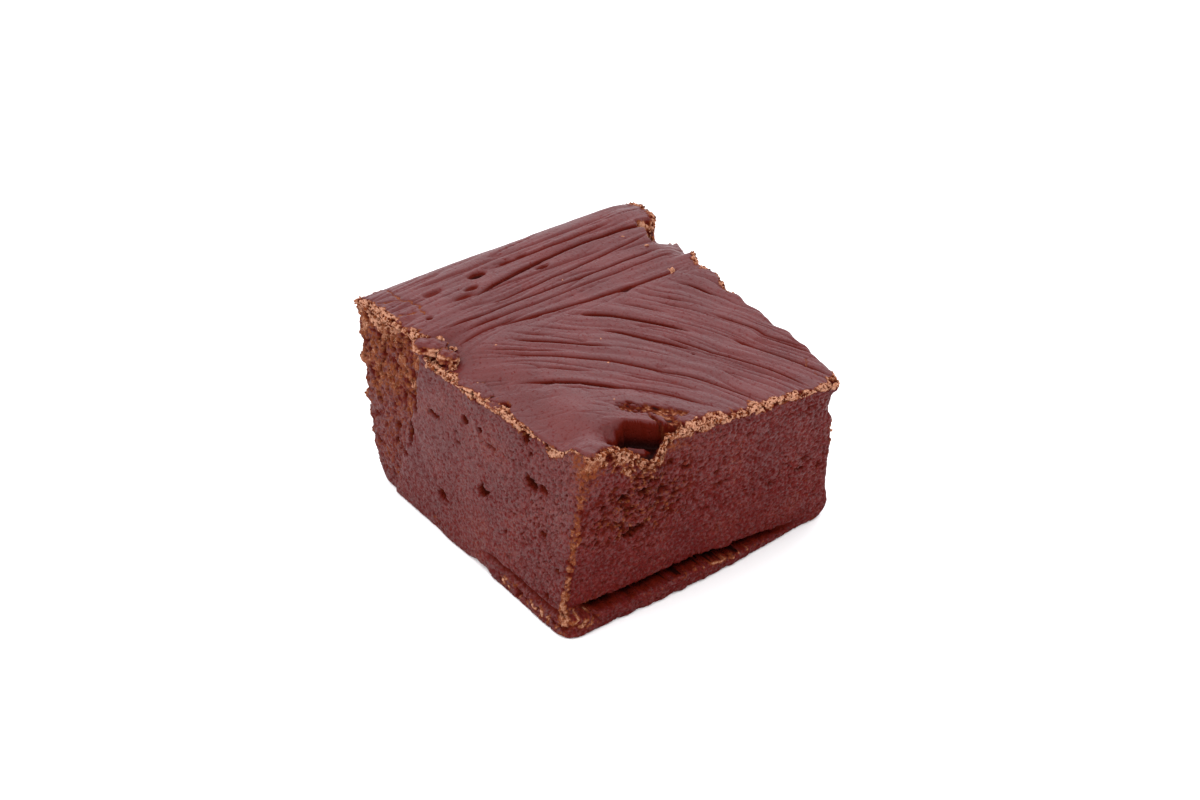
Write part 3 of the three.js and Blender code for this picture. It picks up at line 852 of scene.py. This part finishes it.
crumbSettings = {
    "seed": 5,
    "tried": 50000,  # places on the sides and again on the skin, of which the crumb masks keep some
    "radius": 0.105, "spread": 0.5, "largest": 0.32,
    "stretch": (0.5, 1.3), "bumps": 0.3,
    "sunk": 0.5,  # share of its radius that a crumb sits below the surface
    "darker": 0.35,  # by the hollow and in the bite
    "looseTint": 0.7,
    # crumbs that lie on the skin by themselves: x, y, radius
    "loose": (
        (-6.1, 17.2, 0.5), (-5.6, 16.9, 0.42), (-5.7, 17.6, 0.36), (-6.6, 16.9, 0.3), (-16, 16.3, 0.24),
        (-4.5, -13.5, 0.26), (6.9, -3.8, 0.22), (-12, 2.9, 0.2), (14.4, -8.6, 0.28), (1.9, -1.2, 0.15),
        (20, 4.1, 0.16), (-12.6, 18.2, 0.4), (7.9, -20.4, 0.38), (9.2, -21.4, 0.24), (4, -19.9, 0.18),
        (13.6, -11.2, 0.16),
    ),
}


def makeCrumbs(finish):
    # crumbs strewn where the crumb masks are high, each a nugget with its own stretch, turn, bumps and tint
    random = np.random.default_rng(crumbSettings["seed"])
    count = crumbSettings["tried"]
    outlineA, outlineB = outlineRaw([4000] * 4)
    where = random.integers(0, len(outlineA), count)
    sides = sideSurface(outlineA[where], outlineB[where], np.sqrt(random.random(count)) * 0.998)
    reach = 1 - random.random(count) ** 2
    where = random.integers(0, len(outlineA), count)
    skins = skinSurface(outlineA[where] * reach, outlineB[where] * reach)
    place, direction, crumbs, depth, _ = (np.concatenate(pair) for pair in zip(sides, skins))
    kept = random.random(len(crumbs)) < ramp(0.4, 0.95, crumbs) * (1 - 0.5 * held(depth))
    radius = crumbSettings["radius"] * np.exp(crumbSettings["spread"] * random.normal(size=kept.sum()))
    radius = np.minimum(radius, crumbSettings["largest"])
    loose = np.array(crumbSettings["loose"])
    looseA, looseB = squareOf(loose[:, 0] + skinShift[0], loose[:, 1] + skinShift[1])
    loosePlace, looseDirection, *_ = skinSurface(looseA, looseB)
    radius = np.concatenate([radius, loose[:, 2]])
    place = np.concatenate([place[kept], loosePlace])
    direction = np.concatenate([direction[kept], looseDirection])
    middle = place - direction * (radius * crumbSettings["sunk"])[:, None]
    ball, faces = nugget()
    stretch = random.uniform(*crumbSettings["stretch"], size=(len(radius), 1, 3))
    bumps = 1 + crumbSettings["bumps"] * random.normal(size=(len(radius), len(ball), 1)).clip(-1.5, 1.5)
    shaped = ball[None] * stretch * bumps * radius[:, None, None]
    points = turned(shaped, random) + middle[:, None]
    points[..., 2] = np.maximum(points[..., 2], 0.02)
    triangles = (faces[None] + len(ball) * np.arange(len(radius))[:, None, None]).reshape(-1, 3)
    x, y, _ = place.T
    byHollow = ramp(19, 21, x) * ramp(-6, -9, y)
    inBite = ramp(-12.5, -14, x) * ramp(18, 20, y)
    tint = random.random(len(radius)) ** 1.3
    tint = tint * (1 - crumbSettings["darker"] * byHollow) * (1 - crumbSettings["darker"] * inBite)
    tint[-len(loose):] = crumbSettings["looseTint"]
    masks = {"tint": np.repeat(tint, len(ball))}
    return makePiece("fudgeCrumbs", points.reshape(-1, 3), [(triangles, False)], masks, finish)


def squareOf(x, y):
    # the square's raw (a, b) under a place on the skin, by stepping towards it
    halfWidth, halfDepth = 24.5, 22
    a, b = x / halfWidth, y / halfDepth
    for _ in range(6):
        place = bilinear(block["topCorners"], a, b)
        a = a + (x - place[..., 0]) / halfWidth
        b = b + (y - place[..., 1]) / halfDepth
    return a, b


flakes = {
    # place on the skin and height above it; half length, width and thickness; turn about Z and tilt along
    # its length in degrees; how much of it is broken crumb
    "chips": (
        ((-9, -20.7, 0.55), (2.3, 1.2, 0.95), 52, -6, 0.35),
        ((-5.9, -20, 0.8), (1.4, 1, 0.95), 30, -8, 0.6),
        ((-9.2, -19, 0.25), (0.55, 0.4, 0.55), 20, 10, 0.9),
        ((-7.2, -18.3, 0.15), (0.45, 0.35, 0.35), 70, -10, 1),
        ((-0.3, -20.8, 0.15), (1.5, 0.95, 0.4), 30, -4, 0.4),
        ((-4.6, -20.2, 0.15), (0.55, 0.45, 0.4), 10, 10, 1),
        ((1.9, -20.1, 0.2), (1.9, 1.1, 0.42), -8, -3, 0.3),
        ((5.1, -20.5, 0.15), (1.2, 0.8, 0.4), 25, -6, 0.6),
    ),
    "around": 84, "across": 30,
    "boxiness": 0.62,  # power on the ball's sines and cosines
}


def rotated(u, v, angle):
    # (u cos - v sin, u sin + v cos)
    return u * math.cos(angle) - v * math.sin(angle), u * math.sin(angle) + v * math.cos(angle)


def flakeShape(chip, seed, below):
    # a ball whose sines and cosines are raised to a power below 1, which flattens its sides; stretched,
    # roughened, tilted, turned and set down on the skin's point below it
    middle, half, turn, tilt, broken = chip
    around, across, power = flakes["around"], flakes["across"], flakes["boxiness"]
    angle = np.arange(around) / around * 2 * math.pi
    rise = np.linspace(-math.pi / 2, math.pi / 2, across + 1)[1:-1]
    angle, rise = np.meshgrid(angle, rise)
    wide = np.cos(rise) ** power
    x, y = (signedPower(side, power) * wide for side in (np.cos(angle), np.sin(angle)))
    ball = flat(x, y, signedPower(np.sin(rise), power)).reshape(-1, 3)
    ball = np.concatenate([ball, [[0, 0, -1], [0, 0, 1]]])
    points = ball * np.array(half)
    away = points / np.maximum(np.linalg.norm(points, axis=1, keepdims=True), 1e-9)
    rough = 0.22 * noise(points / 1.1 + 9 * seed, 140) + 0.09 * noise(points / 0.45 + 9 * seed, 141)
    lumps = crumbRelief(points + 9 * seed)
    atEdge = held(1.4 * broken + ramp(0.9, 0.3, np.abs(ball[:, 2])) - 0.5)
    points = points + away * (rough + 0.7 * lumps * atEdge)[:, None]
    x, y, z = points.T
    x, z = rotated(x, z, math.radians(tilt))
    x, y = rotated(x, y, math.radians(turn))
    # crumb raised on the lumps' tops, where its tan is painted highlight, and painted shade between the
    # lumps
    crumbs = atEdge * held(0.62 + 1.2 * lumps)
    return flat(x, y, z + middle[2]) + below, crumbs, held(-0.7 * lumps) * atEdge


def makeFlakes(finish):
    # the loose chips of skin on the front rim
    around, across = flakes["around"], flakes["across"]
    middles = np.array([chip[0] for chip in flakes["chips"]])
    below, *_ = skinSurface(*squareOf(middles[:, 0], middles[:, 1]))
    shapes = [flakeShape(chip, seed, below[seed]) for seed, chip in enumerate(flakes["chips"])]
    points, crumbs, depth = (np.concatenate(parts) for parts in zip(*shapes))
    number = np.arange((across - 1) * around).reshape(across - 1, around)
    quads = np.concatenate([ringFaces(number[row], number[row + 1]) for row in range(across - 2)])
    count = number.size
    caps = np.concatenate([fanFaces(number[0], count, up=False), fanFaces(number[-1], count + 1, up=True)])
    starts = (np.arange(len(shapes)) * (count + 2))[:, None, None]
    quads = (quads[None] + starts).reshape(-1, 4)
    caps = (caps[None] + starts).reshape(-1, 3)
    masks = {"crumb": crumbs, "hollow": depth, "smear": np.full(len(points), 0.9)}
    return makePiece("fudgeFlakes", points, [(quads, True), (caps, True)], masks, finish)


def operator(operation, swapped=False):
    # a method of Wire that adds a Math node, with its two sides swapped in the reflected form
    def joined(self, other):
        first, second = (other, self) if swapped else (self, other)
        return self.finish.add("ShaderNodeMath", {"operation": operation}, {0: first, 1: second})
    return joined


class Wire:
    # a node's output that can stand in a sum, a difference or a product
    def __init__(self, finish, socket):
        self.finish, self.socket = finish, socket

    __add__, __radd__ = operator("ADD"), operator("ADD", True)
    __sub__, __rsub__ = operator("SUBTRACT"), operator("SUBTRACT", True)
    __mul__, __rmul__ = operator("MULTIPLY"), operator("MULTIPLY", True)


class Finish:
    # a material's node tree, filled by one method
    def __init__(self, name):
        self.material = bpy.data.materials.new(name)
        self.material.use_nodes = True
        self.tree = self.material.node_tree
        self.tree.nodes.clear()

    def add(self, kind, settings=None, sockets=None, output=0):
        # one node: its settings first, then a value or a wire for each socket named or numbered
        node = self.tree.nodes.new(kind)
        for name, value in (settings or {}).items():
            setattr(node, name, value)
        for key, value in (sockets or {}).items():
            if isinstance(value, Wire):
                self.tree.links.new(value.socket, node.inputs[key])
            else:
                node.inputs[key].default_value = value
        return Wire(self, node.outputs[output] if node.outputs else None)

    def grain(self, place, size, detail=2.0, roughness=0.5):
        # a noise whose features are size millimetres across
        sockets = {"Vector": place, "Scale": 1 / (size * mm), "Detail": detail, "Roughness": roughness}
        return self.add("ShaderNodeTexNoise", {}, sockets)

    def step(self, value, start, end):
        # 0 at start and 1 at end, smooth between
        sockets = {"Value": value, "From Min": start, "From Max": end}
        return self.add("ShaderNodeMapRange", {"interpolation_type": "SMOOTHSTEP"}, sockets)

    def blend(self, share, low, high):
        # two colours mixed by a share
        return self.add("ShaderNodeMix", {"data_type": "RGBA"}, {0: share, 6: low, 7: high}, output=2)

    def named(self, name):
        # a mask that the mesh carries
        return self.add("ShaderNodeAttribute", {"attribute_name": name}, output=2)

    def bump(self, strength, distance, height):
        # raised by the height times a distance in millimetres
        sockets = {"Strength": strength, "Distance": distance * mm, "Height": height}
        return self.add("ShaderNodeBump", {}, sockets)

    def finished(self, shaderSockets):
        # the material, shown by one shader
        shader = self.add("ShaderNodeBsdfPrincipled", {}, shaderSockets)
        self.add("ShaderNodeOutputMaterial", {}, {"Surface": shader})
        return self.material


looks = {
    "deep": (0.069, 0.0035, 0.003, 1),  # the fudge itself, between these two
    "light": (0.086, 0.0064, 0.006, 1),
    "hollow": (0.07, 0.004, 0.0012, 1),  # painted shade in grooves, pits, the slit and the hollow
    # deepest: painted shade, near black, where the grooves, holes, slit and hollow are deepest
    "deepest": (0.009, 0.0007, 0.0004, 1),
    "tan": (0.44, 0.215, 0.138, 1),  # broken crumb, between these three; tan is also painted highlight on the crumbs' lumps and at the rim's edge, and shade is painted shade in their crevices that also colours the crumbs with the lowest tints
    "orange": (0.148, 0.033, 0.009, 1),
    "shade": (0.052, 0.0058, 0.0013, 1),
    "plainShine": 0.035,  # the shine that is the same everywhere; the coat adds the rest
    "skin": {"roughness": 0.46, "coat": 0.5, "flecks": 0.12, "pore": 0.8, "grain": 0.6},
    "cut": {"roughness": 0.52, "coat": 0.57, "flecks": 0.7, "pore": 0.45, "grain": 1},
    "crumbRoughness": 0.75,
}


def fudgeFinish(name, look):
    # fudge with painted shade in its hollows, where the hollow mask turns it deep red to near black and
    # takes its coat off, and in its fine pores; it has flecks of crumb all over, and turns to broken crumb,
    # orange to tan, where the crumb mask is high; the coat covers grains that reach a level set by the smear
    # mask
    finish = Finish(name)
    step, blend = finish.step, finish.blend
    place = finish.add("ShaderNodeTexCoord", output=3)
    crumb = finish.named("crumb")
    depth = finish.named("hollow")
    broad = finish.grain(place, 6.0, 3.0)
    fine = finish.grain(place, 0.45, 3.0, 0.65)
    speck = finish.grain(place, 0.2, 2.0, 0.7)
    body = blend(step(broad + 0.5 * fine, 0.55, 0.95), looks["deep"], looks["light"])
    pores = finish.grain(place, look["pore"], 2.0, 0.6)
    # painted shade in the fine pores that the bump sinks: they take the hollow colour
    body = blend(step(pores + 0.3 * (speck - 0.5), 0.44, 0.3) * look["flecks"], body, looks["hollow"])
    flecks = step(speck + 0.35 * (broad - 0.5), 0.58, 0.74) * look["flecks"]
    body = blend(flecks, body, looks["orange"])
    # painted shade: the hollow mask turns grooves, pits, the slit and the hollow deep red, then near black
    # where deepest
    body = blend(step(depth, 0.05, 0.28), body, looks["hollow"])
    body = blend(step(depth, 0.3, 0.95), body, looks["deepest"])
    # tan where the crumb mask is highest, which is painted highlight on the lumps' tops and at the rim's
    # edge
    broken = blend(step(crumb + 0.9 * (speck - 0.5), 0.34, 0.92), looks["orange"], looks["tan"])
    # painted shade in the crevices between the crumbs' lumps
    broken = blend(step(depth, 0.12, 0.55), broken, looks["shade"])
    crumbShare = step(crumb + 1.1 * (fine - 0.5), 0.12, 0.52)
    colour = blend(crumbShare, body, broken)
    whole = 1 - crumbShare
    gloss = look["roughness"] * whole + looks["crumbRoughness"] * crumbShare + 0.12 * (fine - 0.5)
    veiled = step(finish.grain(place, 0.42, 3.0, 0.7) + 0.22 * finish.named("smear"), 0.47, 0.7)
    coat = look["coat"] * veiled * whole * (1 - step(depth, 0.03, 0.3))
    grit = speck * (0.5 + 0.5 * crumbShare) + fine * 0.5 + step(pores, 0.32, 0.48) * 0.5 * whole
    bump = finish.bump(look["grain"], 0.2, grit)
    return finish.finished({
        "Base Color": colour, "Roughness": gloss, "Normal": bump, "IOR": 1.5, "Coat Weight": coat,
        "Specular IOR Level": looks["plainShine"], "Coat Roughness": look["roughness"], "Coat IOR": 1.5,
    })


def crumbFinish():
    # broken crumb, each crumb with its own tint
    finish = Finish("fudgeCrumb")
    place = finish.add("ShaderNodeTexCoord", output=3)
    tint = finish.named("tint")
    speck = finish.grain(place, 0.2, 2.0, 0.7)
    tan = finish.blend(finish.step(tint + 1.2 * (speck - 0.5), 0.3, 0.95), looks["orange"], looks["tan"])
    colour = finish.blend(finish.step(tint + 0.4 * (speck - 0.5), 0.3, 0.02), tan, looks["shade"])
    bump = finish.bump(0.6, 0.08, speck)
    return finish.finished({
        "Base Color": colour, "Roughness": looks["crumbRoughness"], "Normal": bump, "IOR": 1.45,
        "Specular IOR Level": looks["plainShine"],
    })


skinFinish = fudgeFinish("fudgeSmeared", looks["skin"])
cutFinish = fudgeFinish("fudgeCut", looks["cut"])
pieces = [makeSkin(skinFinish), makeBlock(cutFinish), makeCrumbs(crumbFinish()), makeFlakes(skinFinish)]
for piece in pieces:
    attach(piece, "root")
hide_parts("fudge")
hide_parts("fudge")
print("pieces made")


studio = {
    "floorColour": (0.95, 0.95, 0.96, 1),
    "sky": 1.7,
    # soft suns: the way each one comes from, its width in degrees, its strength and colour
    "window": {"from": (-0.62, 0.52, 0.6), "width": 75, "strength": 1, "colour": (0.87, 0.94, 1.1)},
    "key": {"from": (-0.15, -0.43, 1.05), "width": 60, "strength": 0.9, "colour": (1, 0.99, 0.99)},
    "lens": 90, "azimuth": 52.7, "elevation": 32.5, "distance": 410.04, "aim": (-6.88, 5.34, 10),
}


def makeFloor():
    # a wide pale sheet under the fudge
    reach = 2.0
    mesh = bpy.data.meshes.new("floor")
    corners = [(-reach, -reach, 0), (reach, -reach, 0), (reach, reach, 0), (-reach, reach, 0)]
    mesh.from_pydata(corners, [], [(0, 1, 2, 3)])
    mesh.materials.append(Finish("floor").finished({"Base Color": studio["floorColour"], "Roughness": 0.9}))
    floor = linked("floor", mesh)
    floor.location = (0, 0, cadLow[2])


def aim(thing, place, back):
    # the object at a place, facing away from the direction back
    thing.location = place
    thing.rotation_mode = "QUATERNION"
    thing.rotation_quaternion = Vector(-back).to_track_quat("-Z", "Y")


def makeLight(name):
    # a sun wide enough to act as a large soft panel
    settings = studio[name]
    lamp = bpy.data.lights.new(name, "SUN")
    lamp.angle = math.radians(settings["width"])
    lamp.energy = settings["strength"]
    lamp.color = settings["colour"]
    aim(linked(name, lamp), settings["from"], np.array(settings["from"]))


def makeCamera():
    # looks back along the line at the azimuth and elevation, from the distance in millimetres
    turn, rise = math.radians(studio["azimuth"]), math.radians(studio["elevation"])
    back = np.array([math.sin(turn) * math.cos(rise), -math.cos(turn) * math.cos(rise), math.sin(rise)])
    data = bpy.data.cameras.new("camera")
    data.lens = studio["lens"]
    data.sensor_width = 36.0
    data.clip_start = 0.01
    camera = linked("camera", data)
    aim(camera, intoFrame(np.array(studio["aim"]) + back * studio["distance"]), back)
    bpy.context.scene.camera = camera


makeFloor()
makeLight("window")
makeLight("key")
makeCamera()
world = bpy.data.worlds.new("studio")
world.use_nodes = True
background = world.node_tree.nodes["Background"].inputs
background["Color"].default_value = (1, 1, 1, 1)
background["Strength"].default_value = studio["sky"]
bpy.context.scene.world = world
bpy.context.scene.view_settings.view_transform = "Standard"
print("stage made")
